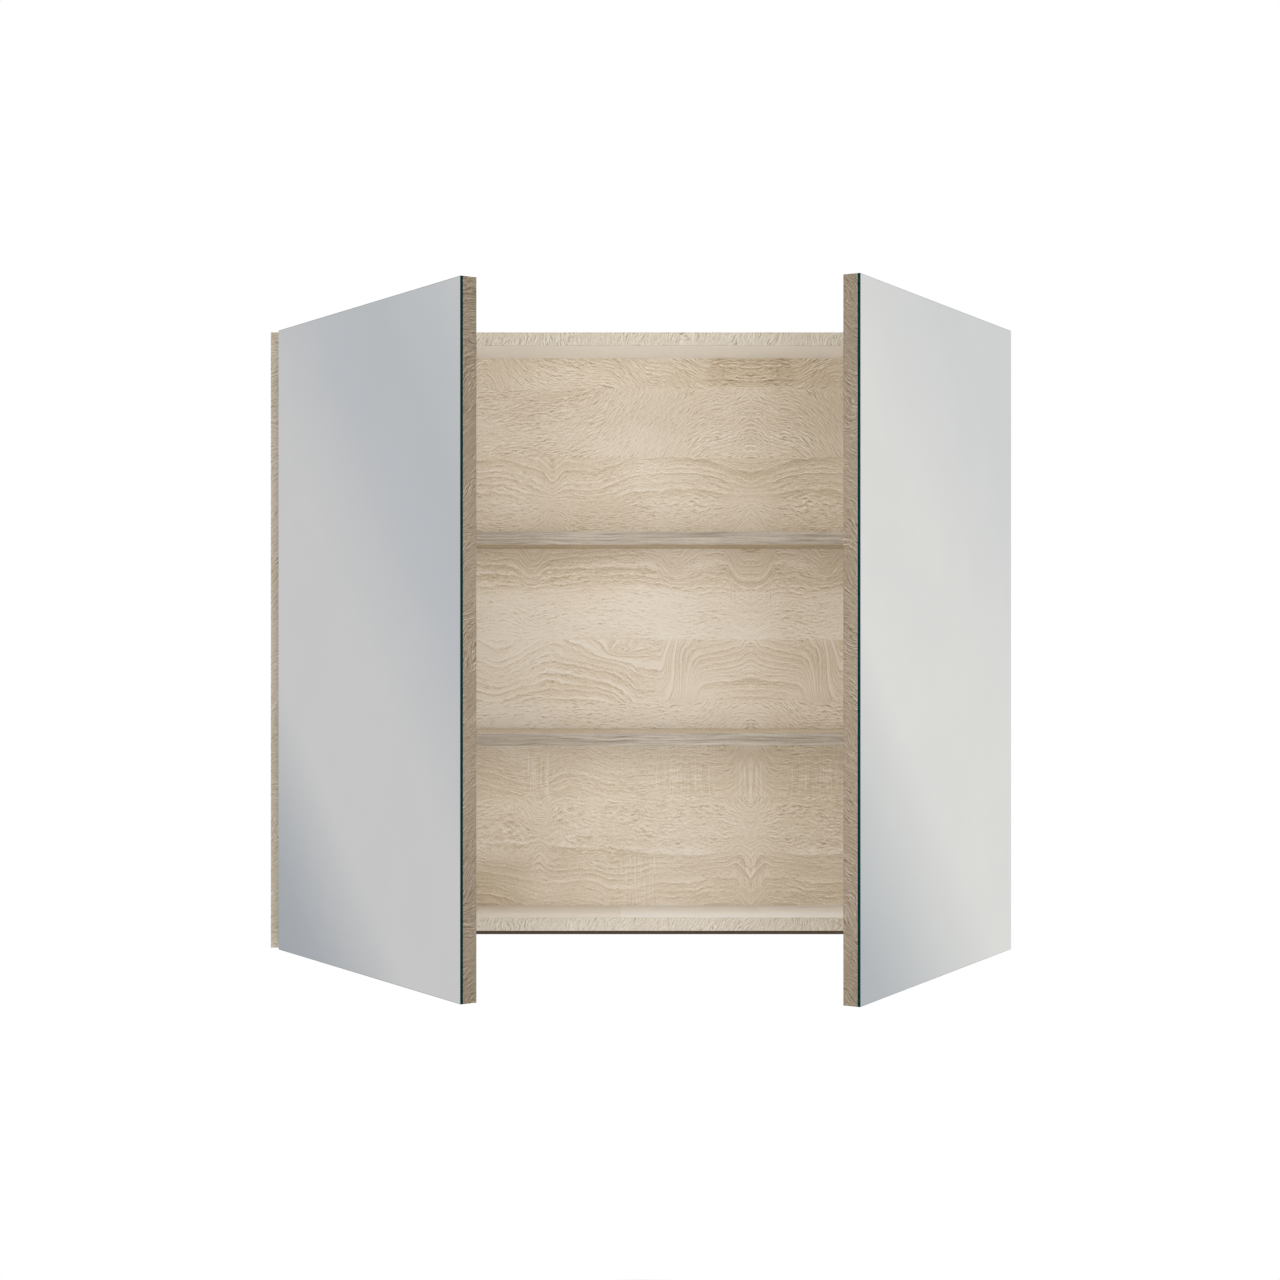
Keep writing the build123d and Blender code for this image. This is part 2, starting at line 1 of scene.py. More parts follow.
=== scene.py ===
"""Looks of the mirror cabinet: pale sawn oak boards, two mirror doors, plated hinges."""
import math

import bpy
from mathutils import Matrix, Vector

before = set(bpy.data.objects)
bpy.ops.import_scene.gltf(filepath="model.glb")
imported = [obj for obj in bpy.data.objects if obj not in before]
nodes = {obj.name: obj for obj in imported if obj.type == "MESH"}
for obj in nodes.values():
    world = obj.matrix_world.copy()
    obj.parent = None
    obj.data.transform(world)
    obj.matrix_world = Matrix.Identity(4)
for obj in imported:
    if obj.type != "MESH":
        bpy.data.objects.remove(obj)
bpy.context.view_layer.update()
MM = 0.001


# ------------------------------------------------------------------ colour helpers
def lin(v):
    v = v / 255.0
    return v / 12.92 if v <= 0.04045 else ((v + 0.055) / 1.055) ** 2.4


def rgb(r, g, b):
    return (lin(r), lin(g), lin(b), 1.0)


# ------------------------------------------------------------------ node helpers
class Tree:
    """Short forms for building a shader from maths."""

    def __init__(self, mat):
        mat.use_nodes = True
        self.t = mat.node_tree
        self.t.nodes.clear()

    def node(self, kind, **props):
        n = self.t.nodes.new(kind)
        for k, v in props.items():
            setattr(n, k, v)
        return n

    def put(self, socket, value):
        if isinstance(value, bpy.types.NodeSocket):
            self.t.links.new(value, socket)
        elif value is not None:
            socket.default_value = value

    def math(self, op, a, b=None, c=None, clamp=False):
        n = self.node("ShaderNodeMath", operation=op, use_clamp=clamp)
        self.put(n.inputs[0], a)
        if b is not None:
            self.put(n.inputs[1], b)
        if c is not None:
            self.put(n.inputs[2], c)
        return n.outputs[0]

    def add(self, a, b):
        return self.math("ADD", a, b)

    def sub(self, a, b):
        return self.math("SUBTRACT", a, b)

    def mul(self, a, b):
        return self.math("MULTIPLY", a, b)

    def vec(self, x, y, z):
        n = self.node("ShaderNodeCombineXYZ")
        for s, v in zip(n.inputs, (x, y, z)):
            self.put(s, v)
        return n.outputs[0]

    def dot(self, v, axis):
        n = self.node("ShaderNodeVectorMath", operation="DOT_PRODUCT")
        self.put(n.inputs[0], v)
        n.inputs[1].default_value = axis
        return n.outputs["Value"]

    def noise(self, v, scale=1.0, detail=2.0, rough=0.5, distort=0.0):
        n = self.node("ShaderNodeTexNoise", noise_dimensions="3D")
        self.put(n.inputs["Vector"], v)
        n.inputs["Scale"].default_value = scale
        n.inputs["Detail"].default_value = detail
        n.inputs["Roughness"].default_value = rough
        n.inputs["Distortion"].default_value = distort
        return n.outputs["Fac"]

    def white(self, w):
        n = self.node("ShaderNodeTexWhiteNoise", noise_dimensions="1D")
        self.put(n.inputs["W"], w)
        return n.outputs["Value"]

    def fit(self, v, a0, a1, b0=0.0, b1=1.0, smooth=False):
        n = self.node("ShaderNodeMapRange", interpolation_type="SMOOTHSTEP" if smooth else "LINEAR")
        n.clamp = True
        self.put(n.inputs["Value"], v)
        for k, x in zip(("From Min", "From Max", "To Min", "To Max"), (a0, a1, b0, b1)):
            self.put(n.inputs[k], x)
        return n.outputs["Result"]

    def mix(self, f, a, b, blend="MIX"):
        n = self.node("ShaderNodeMix", data_type="RGBA", blend_type=blend)
        n.clamp_factor = True
        self.put(n.inputs[0], f)
        self.put(n.inputs[6], a)
        self.put(n.inputs[7], b)
        return n.outputs[2]

    def mixf(self, f, a, b):
        n = self.node("ShaderNodeMix", data_type="FLOAT")
        n.clamp_factor = True
        self.put(n.inputs[0], f)
        self.put(n.inputs[2], a)
        self.put(n.inputs[3], b)
        return n.outputs[0]

    def ramp(self, f, stops, mode="LINEAR"):
        n = self.node("ShaderNodeValToRGB")
        r = n.color_ramp
        r.interpolation = mode
        while len(r.elements) < len(stops):
            r.elements.new(0.5)
        for e, (p, c) in zip(r.elements, stops):
            e.position, e.color = p, c
        self.put(n.inputs["Fac"], f)
        return n.outputs["Color"]

    def curve(self, v, points, x0, x1, y0, y1):
        """A drawn curve: v runs from x0 to x1, the points' second figures lie between y0 and y1."""
        n = self.node("ShaderNodeFloatCurve")
        mapping = n.mapping
        mapping.use_clip = False
        mapping.extend = "HORIZONTAL"
        line = mapping.curves[0]
        put = [((a - x0) / (x1 - x0), (b - y0) / (y1 - y0)) for a, b in points]
        line.points[0].location, line.points[1].location = put[0], put[-1]
        for a in put[1:-1]:
            line.points.new(*a)
        for q in line.points:
            q.handle_type = "AUTO_CLAMPED"
        mapping.update()
        self.put(n.inputs["Value"], self.fit(v, x0, x1))
        n.inputs["Factor"].default_value = 1.0
        return self.math("MULTIPLY_ADD", n.outputs[0], y1 - y0, y0)

    def bell(self, v, centre, width):
        k = self.math("MULTIPLY_ADD", v, 1.0 / width, -centre / width)
        return self.math("EXPONENT", self.mul(self.mul(k, k), -1.0))

    def place(self):
        return self.node("ShaderNodeTexCoord").outputs["Object"]

    def node_colour(self, v):
        n = self.node("ShaderNodeCombineColor")
        for k in range(3):
            self.put(n.inputs[k], v)
        return n.outputs[0]

    def own_normal(self):
        return self.node("ShaderNodeTexCoord").outputs["Normal"]

    def bump(self, height, strength, distance):
        n = self.node("ShaderNodeBump")
        n.inputs["Strength"].default_value = strength
        n.inputs["Distance"].default_value = distance
        self.put(n.inputs["Height"], height)
        return n.outputs["Normal"]

    def surface(self, **sockets):
        b = self.node("ShaderNodeBsdfPrincipled")
        for k, v in sockets.items():
            self.put(b.inputs[k.replace("_", " ")], v)
        o = self.node("ShaderNodeOutputMaterial")
        self.t.links.new(b.outputs[0], o.inputs["Surface"])
        return b


def new_material(name):
    m = bpy.data.materials.new(name)
    return m, Tree(m)


def unit(v):
    return tuple(Vector(v).normalized())


# ------------------------------------------------------------------ pale sawn oak
WOOD = [(0.0, (137, 114, 84)), (0.3, (181, 164, 137)), (0.50, (211, 197, 176)), (0.64, (230, 221, 208)), (0.8, (238, 233, 225)), (1.0, (248, 246, 243))]
# brightness across one growth ring: thin pale line, plain wood that slowly darkens, dark line
RING = [(0.0, -0.35), (0.06, 0.7), (0.14, 1.0), (0.26, 0.35), (0.40, 0.0), (0.62, -0.2), (0.78, -0.65), (0.90, -1.0), (0.96, -0.85),
        (1.0, -0.35)]


def wood(t, ring_at, stroke_at, g, c, ring_amount, stroke_amount, level, saw=None, seed=0.0, spacing=10.5,
         palette=WOOD, tone=1.0, rough=0.56, spread=1.0, grit=1.0,
         dark=None):
    """Finish of pale sawn oak from two line fields, all in millimetres.
    Growth rings follow the level lines of ring_at, torn fibre strokes follow those of stroke_at."""
    # ragged edge of every line
    rag = t.mul(t.sub(t.noise(t.vec(t.mul(g, 0.06), t.mul(c, 0.085), seed), 1.0, 3.0, 0.62), 0.5), 9.0)
    f = t.add(ring_at, rag)
    q = t.add(t.mul(f, 1.0 / spacing), t.mul(t.noise(t.vec(t.mul(f, 0.045), seed + 4.0, t.mul(g, 0.002)), 1.0, 1.0, 0.5), 2.6))
    ring = t.math("FRACT", q)
    number = t.math("FLOOR", q)
    each = t.fit(t.white(t.add(number, seed + 0.37)), 0.0, 1.0, 0.45, 1.15)
    here = t.fit(t.noise(t.vec(t.mul(g, 0.013), t.mul(c, 0.03), seed + 6.0), 1.0, 2.0, 0.5), 0.36, 0.58, 0.35, 1.0, True)
    show = t.mul(t.mul(each, here), ring_amount)
    lines = t.curve(ring, RING, 0.0, 1.0, -1.0, 1.0)
    # torn fibre: short dashes with a light side above each dark one
    wob = t.mul(t.sub(t.noise(t.vec(t.mul(g, 0.13), t.mul(c, 0.13), seed + 8.0), 1.0, 1.0, 0.5), 0.5), 4.2)
    sf = t.add(stroke_at, wob)
    gs, cs = t.mul(g, 0.105), t.mul(c, 0.105)
    n1 = t.noise(t.vec(t.mul(sf, 0.52), t.add(gs, seed), cs), 1.0, 2.0, 0.6)
    n2 = t.noise(t.vec(t.mul(t.add(sf, -1.35), 0.52), t.add(gs, seed), cs), 1.0, 2.0, 0.6)
    relief = t.sub(n2, n1)
    dash = t.fit(n1, 0.54, 0.68, 0.0, 1.0, True)
    some = t.fit(t.noise(t.vec(t.mul(g, 0.024), t.mul(c, 0.038), seed + 10.0), 1.0, 2.0, 0.55), 0.36, 0.62, 0.55, 1.2, True)
    amount = t.mul(stroke_amount, some)
    # fine grit all over, a little longer along the fibre
    fine = t.sub(t.noise(t.vec(t.mul(sf, 0.80), t.mul(g, 0.46), t.mul(c, 0.46)), 1.0, 2.0, 0.75), 0.5)
    cloud = t.sub(t.noise(t.vec(t.mul(g, 0.006), t.mul(c, 0.014), seed + 12.0), 1.0, 3.0, 0.55), 0.5)
    v = t.add(level, t.mul(cloud, 0.26 * spread))
    v = t.add(v, t.mul(show, t.mul(lines, 0.083)))
    v = t.add(v, t.mul(amount, t.add(t.mul(dash, -0.095), t.mul(relief, 0.60))))
    v = t.add(v, t.mul(fine, 0.41 * grit))
    height = t.add(t.mul(t.mul(n1, stroke_amount), -1.8), t.add(t.mul(fine, 1.0), t.mul(t.mul(show, lines), 0.4)))
    if saw is not None:
        marks_n = t.noise(t.vec(t.mul(g, 0.62), t.mul(c, 0.018), seed + 14.0), 1.0, 1.0, 0.5)
        marks = t.sub(t.fit(marks_n, 0.54, 0.66, 0.0, 1.0, True), t.fit(marks_n, 0.45, 0.34, 0.0, 0.6, True))
        marks = t.mul(marks, saw)
        v = t.add(v, t.mul(marks, 0.085))
    colour = t.ramp(v, [(p, tuple(lin(x * tone) for x in k) + (1.0,)) for p, k in palette])
    # painted shade: where a dark mask is given, the wood gives way to a dark brown that stands for shade
    if dark is not None:
        painted_shade_brown = t.mix(t.fit(fine, -0.2, 0.2), rgb(74, 58, 43), rgb(94, 76, 58))
        colour = t.mix(dark, colour, painted_shade_brown)
    t.surface(Base_Color=colour, Roughness=t.add(rough, t.mul(t.mul(dash, stroke_amount), 0.08)),
              Normal=t.bump(height, 0.4, 0.0002), Specular_IOR_Level=0.30)


def oak(name, grain, cross, period=92.0, seed=0.0, figure=1.0, strokes=1.0, saw=1.0, level=0.60, levels=(), facing=None,
        **more):
    """Planks side by side along `cross`, rings running along `grain`."""
    m, t = new_material(name)
    p = t.place()
    g = t.math("MULTIPLY", t.dot(p, grain), 1000.0)
    c = t.math("MULTIPLY", t.dot(p, cross), 1000.0)
    index = t.math("FLOOR", t.mul(t.add(c, 1000.0 + seed * 13.0), 1.0 / period))
    pick, pick2, pick3 = (t.white(t.add(index, k + seed)) for k in (3.7, 31.3, 57.9))
    own = t.mul(pick3, 40.0)
    gp = t.add(g, t.mul(pick, 2900.0))
    slow = t.sub(t.noise(t.vec(t.mul(gp, 0.0036), t.mul(c, 0.010), own), 1.0, 1.0, 0.4), 0.5)
    bend = t.sub(t.noise(t.vec(t.mul(gp, 0.012), t.mul(c, 0.016), t.add(own, 5.0)), 1.0, 1.0, 0.5), 0.5)
    lean = t.add(t.mul(slow, t.fit(pick2, 0.1, 0.9, 40.0, 190.0 * figure)), t.mul(bend, 34.0))
    sf = t.add(c, t.add(t.mul(lean, 0.75), t.mul(t.math("SINE", t.mul(gp, 0.011)), 9.0)))
    rf = t.add(c, lean)
    calm = t.fit(t.noise(t.vec(t.mul(gp, 0.006), t.mul(c, 0.016), t.add(own, 9.0)), 1.0, 1.0, 0.5), 0.38, 0.62, 0.0, 1.0, True)
    rings = t.mul(t.fit(t.add(t.mul(calm, 0.7), t.mul(pick2, 0.5)), 0.30, 0.95, 0.12, 1.0), figure)
    rough_fibre = t.mul(t.fit(t.add(calm, t.mul(pick, 0.4)), 0.3, 1.1, 1.0, 0.35), strokes)
    marks = t.mul(t.fit(t.noise(t.vec(t.mul(gp, 0.013), t.mul(c, 0.008), own), 1.0, 1.0, 0.4), 0.57, 0.64, 0.0, saw, True),
                  t.math("GREATER_THAN", pick2, 0.35))
    lv = t.add(level, t.mul(t.sub(pick3, 0.5), 0.10))
    for edge, change in levels:
        lv = t.add(lv, t.mul(t.math("GREATER_THAN", g, edge), change))
    if facing:
        # (upwards +1 or downwards -1, change of tone, figure there): painted light and shade by face direction. The top
        # and bottom boards carry a lighter tone that is painted light on their inner faces. That tone is taken back off
        # their outer faces, which get the tone and figure of the sides. On the shelves the change darkens the
        # undersides as painted shade.
        way, change, show = facing
        painted_light_face_mask = t.fit(t.mul(t.dot(t.own_normal(), (0.0, 0.0, 1.0)), way), 0.3, 0.6)
        lv = t.add(lv, t.mul(painted_light_face_mask, change))
        rings = t.mul(rings, t.mixf(painted_light_face_mask, 1.0, show))
    wood(t, rf, sf, gp, t.add(c, own), rings, rough_fibre, lv, marks, seed=seed, **more)
    return m


# The back panel's planks, one above the other. Widths and places are in units of UNIT mm, counted outwards from
# the line x = FOLD about which the figure is mirrored; heights count down from the panel's middle.
UNIT, FOLD, MID = 1.2747, 141.0, 640.4
SEAMS = (389.0, 458.0, 540.0, 640.0, 703.0, 797.0)
RINGS = {
    "p0": [(0, 0), (35, 0), (50, 2), (62, 9), (80, 18), (104, 21), (112, 29), (138, 52), (160, 55), (200, 60), (225, 70), (245, 93),
           (261, 122), (267, 124), (280, 112)],
    "p1": [(0, 0), (8, -2), (17, -8), (26, -11), (40, -13), (55, -21), (80, -50), (110, -100), (140, -138), (165, -156),
           (190, -165), (230, -171), (280, -176)],
    "p2a": [(0, -13), (5, -11.5), (17, -8.5), (30, -4.5), (47, 0), (69, 1), (95, 0), (116, -1.4), (136, -9), (162, -15),
            (184, -14), (192, -19), (198, -24), (205, -18), (214, -12), (227, -8), (247, -2), (280, -1.5)],
    "p2b": [(0, 12), (10, 4), (20, -3), (40, -7), (70, -8), (110, -5), (150, -9), (180, -8), (190, -2), (198, 8), (206, -1),
            (215, -8), (240, -10), (280, -8)],
    "p3a": [(0, -20), (9, -19), (13, -14), (20, 0), (26, 5), (40, 5), (55, 2), (66, -5), (72, -9), (78, -9), (84, -3), (92, 4),
            (120, 6), (160, 6), (200, 3), (207, 0), (213, -9), (219, -11), (226, -4), (234, 4), (250, 6), (280, 7)],
    "p3b": [(0, -8), (10, -6), (27, 0), (45, -1), (68, -3), (95, 1), (150, 2), (200, -1), (221, -4), (240, 0), (280, 0)],
    "p4a": [(0, 0), (4, -2), (10, -8), (22, -13), (45, -18), (60, -24), (70, -36), (77, -58), (84, -85), (92, -100),
            (108, -97), (130, -92), (153, -86), (175, -76), (200, -69), (215, -75), (235, -88), (253, -96), (266, -90), (280, -82)],
    "p4b": [(0, 0), (20, -2), (40, -4), (49, -8), (54, -20), (60, -42), (68, -72), (78, -95), (92, -108), (110, -108),
            (122, -100), (135, -90), (150, -84), (170, -82), (200, -82), (230, -86), (253, -91), (280, -87)],
    "p5a": [(0, 25), (15, 21), (30, 12), (45, 2), (60, -2), (100, -3), (200, -1), (280, -3)],
    "p5b": [(0, 26), (8, 13), (14, 5), (20, 0), (30, -2), (60, -3), (95, -4), (130, -5), (150, -2), (165, 4), (178, 6),
            (190, 3), (203, -3), (215, -6), (240, -4), (260, 3), (280, 7)],
    "p6a": [(0, -30), (8, -22), (20, -10), (35, -3), (55, 0), (95, 0), (150, 2), (185, 10), (200, 2), (210, -18), (222, 0),
            (235, 8), (280, 2)],
    "p6b": [(0, -7), (5, -4), (11, 0), (16, -3), (22, -9), (34, -12), (52, -14), (95, -14), (120, -12), (150, -12), (190, -14),
            (202, -12), (211, -2), (218, -8), (226, -12), (250, -10), (280, -6)],
    "p6c": [(0, -23), (5, -19), (10, -15), (14, -10), (18, -6.5), (22, -6), (41, -7), (58, -12), (95, -12), (112, -18),
            (128, -19), (143, -18), (154, -12), (170, -9), (188, -11), (200, -12.6), (215, -9.6), (228, -6), (244, 0), (260, 5),
            (280, 7)],
}
AMOUNTS = {
    "ring": [(350, 0.7), (386, 0.65), (392, 0.15), (454, 0.15), (460, 1.2), (492, 1.1), (506, 0.15), (540, 0.15), (546, 1.2),
             (582, 1.1), (596, 0.3), (636, 0.2), (642, 1.5), (700, 1.5), (706, 0.30), (745, 0.35), (752, 0.6), (794, 0.6),
             (800, 0.12), (830, 0.2), (842, 0.8), (862, 1.15), (910, 1.15)],
    "stroke": [(350, 1.05), (386, 1.05), (392, 1.0), (454, 1.0), (460, 0.6), (490, 0.6), (506, 0.85), (540, 0.85), (548, 0.65),
               (590, 0.72), (636, 0.7), (642, 0.55), (700, 0.6), (706, 1.12), (745, 0.9), (752, 0.6), (794, 0.6), (800, 0.8),
               (838, 0.62), (860, 0.5), (910, 0.5)],
    # level: plank tones, with painted shade just under each shelf and painted light lower down in the middle
    # compartment
    "level": [(350, 0.0), (388, 0.0), (392, -0.01), (454, -0.01), (460, -0.02), (530, 0.0), (548, -0.03), (580, -0.03),
              (600, 0.08), (637, 0.08), (642, 0.03), (700, 0.02), (706, 0.07), (745, 0.05), (752, -0.02), (800, -0.02), (862, -0.01),
              (910, -0.02)],
}


def back_oak(name, seed=4.0):
    m, t = new_material(name)
    p = t.place()
    x = t.math("MULTIPLY", t.dot(p, (1.0, 0.0, 0.0)), 1000.0)
    z = t.math("MULTIPLY", t.dot(p, (0.0, 0.0, 1.0)), 1000.0)
    u = t.mul(t.math("ABSOLUTE", t.sub(x, FOLD)), 1.0 / UNIT)
    y = t.add(t.mul(z, -1.0 / UNIT), MID - 315.0 / UNIT)

    def lines(key):
        return t.curve(u, [(a, b) for a, b in RINGS[key]], 0.0, 280.0, -200.0, 200.0)

    def between(top, bottom, y0, y1):
        return t.mixf(t.fit(y, y0, y1, 0.0, 1.0, True), lines(top), lines(bottom))

    island = t.mul(t.bell(u, 130.0, 17.0), t.bell(y, 651.0, 7.5))
    h = [lines("p0"), lines("p1"), between("p2a", "p2b", 486.0, 518.0), between("p3a", "p3b", 560.0, 590.0),
         t.add(between("p4a", "p4b", 644.0, 700.0), t.mul(island, -15.0)), between("p5a", "p5b", 728.0, 752.0),
         t.mixf(t.fit(y, 806.0, 852.0), lines("p6a"), t.mixf(t.fit(y, 850.0, 886.0), lines("p6b"), lines("p6c")))]
    rise, index = h[0], 0.0
    for k, s in enumerate(SEAMS):
        below = t.math("GREATER_THAN", y, s)
        rise = t.mixf(below, rise, h[k + 1])
        index = t.add(below, index)
    g = t.mul(u, UNIT)
    c = t.add(z, t.mul(index, 170.0))
    drift = t.mul(t.sub(t.noise(t.vec(t.mul(g, 0.010), t.mul(c, 0.018), seed), 1.0, 1.0, 0.5), 0.5), 11.0)
    f = t.add(t.sub(z, t.mul(rise, UNIT)), drift)
    f = t.add(f, t.mul(index, 31.0))
    own = {k: t.curve(y, v, 350.0, 910.0, -2.0, 2.0) for k, v in AMOUNTS.items()}

    def patch(u0, u1, y0, y1, soft_u=5.0, soft_y=4.0):
        a = t.fit(t.math("ABSOLUTE", t.add(u, -(u0 + u1) / 2)), (u1 - u0) / 2 - soft_u, (u1 - u0) / 2 + soft_u, 1.0, 0.0, True)
        b = t.fit(t.math("ABSOLUTE", t.add(y, -(y0 + y1) / 2)), (y1 - y0) / 2 - soft_y, (y1 - y0) / 2 + soft_y, 1.0, 0.0, True)
        return t.mul(a, b)

    saw = t.mul(patch(38, 96, 742, 799), 0.9)
    for args in ((203, 228, 752, 800), (-16, 16, 762, 803), (94, 131, 856, 912), (-15, 15, 856, 890), (193, 201, 455, 474),
                 (14, 26, 588, 612)):
        saw = t.math("MAXIMUM", saw, patch(*args))
    level = t.add(own["level"], 0.61)
    # two single pale saw lines and the darker heart of the lowest plank's left end
    for at, y0, y1 in ((203.0, 754, 799), (0.0, 757, 801)):
        level = t.add(level, t.mul(t.mul(t.bell(u, at, 0.9), patch(at - 20, at + 20, y0, y1)), 0.10))
    level = t.add(level, t.mul(patch(222, 300, 862, 930, 20.0, 12.0), -0.10))
    saw = t.add(saw, t.mul(patch(-34, 34, 352, 386, 8.0, 4.0), 0.25))
    level = t.add(level, t.mul(patch(-42, 42, 340, 386, 6.0, 3.0), -0.07))
    # painted shade: the panel is darker towards both sides, most on the right around x = 270 mm, where the doors and
    # side panels shade it
    level = t.add(level, t.curve(x, [(-400, -0.03), (-110, -0.02), (60, -0.022), (140, -0.045), (200, -0.07), (270, -0.09), (430, -0.05)],
                                 -400.0, 430.0, -0.5, 0.5))
    # painted light and shade on the left of the panel: lighter above the lower shelf, darker just under it
    left = t.fit(x, -170.0, -50.0, 1.0, 0.0, True)
    tint = t.curve(y, [(350, 0.0), (636, 0.0), (642, 0.055), (727, 0.06), (740, 0.01), (762, -0.02), (772, -0.05), (796, -0.05),
                       (802, -0.01), (910, 0.01)], 350.0, 910.0, -0.5, 0.5)
    level = t.add(level, t.mul(left, tint))
    # the back panel's lower margin, below the bottom board, is painted dark brown as painted shade
    painted_shade_margin = t.math("LESS_THAN", z, -669.6)
    deeper = t.mul(own["stroke"], t.fit(x, 90.0, 230.0, 1.0, 1.25, True))
    wood(t, f, f, g, c, own["ring"], deeper, level, saw, seed=seed, spacing=10.0, dark=painted_shade_margin)
    return m


# ------------------------------------------------------------------ door directions
def door_axes(side):
    """Unit vectors along a door and from its mirror to its back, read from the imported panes."""
    word = "left" if side < 0 else "right"
    board = nodes[word + "_mirror"].data
    area = {}
    for poly in board.polygons:
        k = tuple(round(v, 3) for v in poly.normal)
        area[k] = area.get(k, 0.0) + poly.area
    front = max((k for k in area if k[1] < 0), key=lambda k: area[k])
    back = Vector((-front[0], -front[1], 0)).normalized()
    along = Vector((0, 0, 1)).cross(back) * (1 if side < 0 else -1)
    return -1 * along.normalized() * (-1), back


left_along, left_back = door_axes(-1)
right_along, right_back = door_axes(1)
UP = (0.0, 0.0, 1.0)
X, Y = (1.0, 0.0, 0.0), (0.0, 1.0, 0.0)

M = {}
M["back"] = back_oak("oak_back")
# painted light: levels 0.95 and 0.86 make the top and bottom boards' inner faces lighter than the other wood, and
# facing takes this back off their outer faces; the shelves' undersides get painted shade
M["top"] = oak("oak_top", X, Y, period=96.0, seed=2.0, figure=0.3, strokes=0.4, saw=0.0, level=0.95, spread=0.4,
               facing=(1.0, -0.35, 3.5))
M["bottom"] = oak("oak_bottom", X, Y, period=128.0, seed=9.0, figure=0.2, strokes=0.4, saw=0.0, level=0.86, spread=0.4,
                  levels=((-24.0, 0.12), (150.0, 0.12)), facing=(-1.0, -0.35, 4.0))
M["shelf"] = oak("oak_shelf", X, Y, period=96.0, seed=6.0, figure=0.6, level=0.42, facing=(-1.0, -0.12, 1.0))
M["side"] = oak("oak_side", UP, Y, period=92.0, seed=12.0)
M["door_l"] = oak("oak_door_left", UP, tuple(left_along), period=92.0, seed=15.0)
M["door_r"] = oak("oak_door_right", UP, tuple(right_along), period=92.0, seed=19.0)


# ------------------------------------------------------------------ edge banding
def edging(name, grain, cross, light, mid, dark, seed=0.0, streak=1.0, saw=0.0, long=1.0, tone=1.0, grit=1.0):
    """Printed banding: soft long streaks, short pores and, where asked, fine cross marks."""
    m, t = new_material(name)
    p = t.place()
    g = t.math("MULTIPLY", t.dot(p, grain), 1000.0)
    c = t.math("MULTIPLY", t.dot(p, cross), 1000.0)
    warp = t.noise(t.vec(t.mul(g, 0.012), seed, 1.0), 1.0, 2.0, 0.5)
    cc = t.add(c, t.mul(t.sub(warp, 0.5), 9.0))
    broad = t.noise(t.vec(t.mul(g, 0.011 / long), t.mul(cc, 0.30), seed), 1.0, 3.0, 0.6)
    narrow = t.noise(t.vec(t.mul(g, 0.045 / long), t.mul(cc, 1.15), seed + 5.0), 1.0, 3.0, 0.6)
    pores = t.fit(t.noise(t.vec(t.mul(g, 0.17 / long), t.mul(cc, 2.6), seed + 9.0), 1.0, 2.0, 0.6), 0.56, 0.68, 0.0, 1.0, True)
    cloud = t.noise(t.vec(t.mul(g, 0.006), 0.0, seed + 13.0), 1.0, 2.0, 0.5)
    base = t.mix(t.fit(broad, 0.34, 0.66), rgb(*light), rgb(*mid))
    base = t.mix(t.mul(t.fit(narrow, 0.46, 0.70, 0.0, 1.0, True), 0.75 * streak), base, rgb(*dark))
    base = t.mix(t.mul(pores, 0.45 * streak), base, rgb(*[v * 0.87 for v in dark]))
    marks = 0.0
    if saw:
        w = t.noise(t.vec(t.mul(g, 0.35), t.mul(c, 0.10), seed + 3.0), 1.0, 2.0, 0.6)
        lines = t.fit(w, 0.50, 0.66, 0.0, 1.0, True)
        where = t.fit(t.noise(t.vec(t.mul(g, 0.02), 0.0, seed + 17.0), 1.0, 1.0, 0.5), 0.40, 0.58, 0.2, 1.0, True)
        marks = t.mul(lines, where)
        base = t.mix(t.mul(marks, 0.5 * saw), base, rgb(*[min(v * 1.11, 245) for v in light]))
    fine = t.sub(t.noise(t.vec(t.mul(g, 0.32), t.mul(c, 0.62), seed + 21.0), 1.0, 2.0, 0.75), 0.5)
    col = t.node("ShaderNodeVectorMath", operation="SCALE")
    t.put(col.inputs[0], base)
    t.put(col.inputs["Scale"], t.add(tone, t.add(t.mul(t.sub(cloud, 0.5), 0.16), t.mul(fine, 1.05 * grit))))
    height = t.add(t.mul(pores, -0.8), t.mul(narrow, 0.5))
    t.surface(Base_Color=col.outputs[0], Roughness=t.add(0.5, t.mul(pores, 0.1)), Normal=t.bump(height, 0.4, 0.00012), Specular_IOR_Level=0.35)
    return m


M["edge_shelf"] = edging("oak_edge_shelf", X, UP, (188, 179, 167), (154, 144, 130), (104, 93, 80), seed=2.0, streak=1.0, long=2.6, grit=0.4)


def edge_oak(name, along, across, shades, seed=0.0, slant=0.6, strokes=1.2, level=0.6):
    """Banding cut from the sawn decor: its short torn strokes cross the narrow edge at a changing slant."""
    m, t = new_material(name)
    p = t.place()
    g = t.math("MULTIPLY", t.dot(p, along), 1000.0)
    c = t.math("MULTIPLY", t.dot(p, across), 1000.0)
    turn = t.sub(t.noise(t.vec(t.mul(g, 0.011), t.mul(c, 0.012), seed), 1.0, 2.0, 0.5), 0.5)
    f = t.add(t.add(g, t.mul(c, -slant)), t.mul(turn, 85.0))
    wood(t, f, f, g, c, 0.35, strokes, level, None, seed=seed, spacing=13.0, palette=shades, grit=1.45, rough=0.5)
    return m


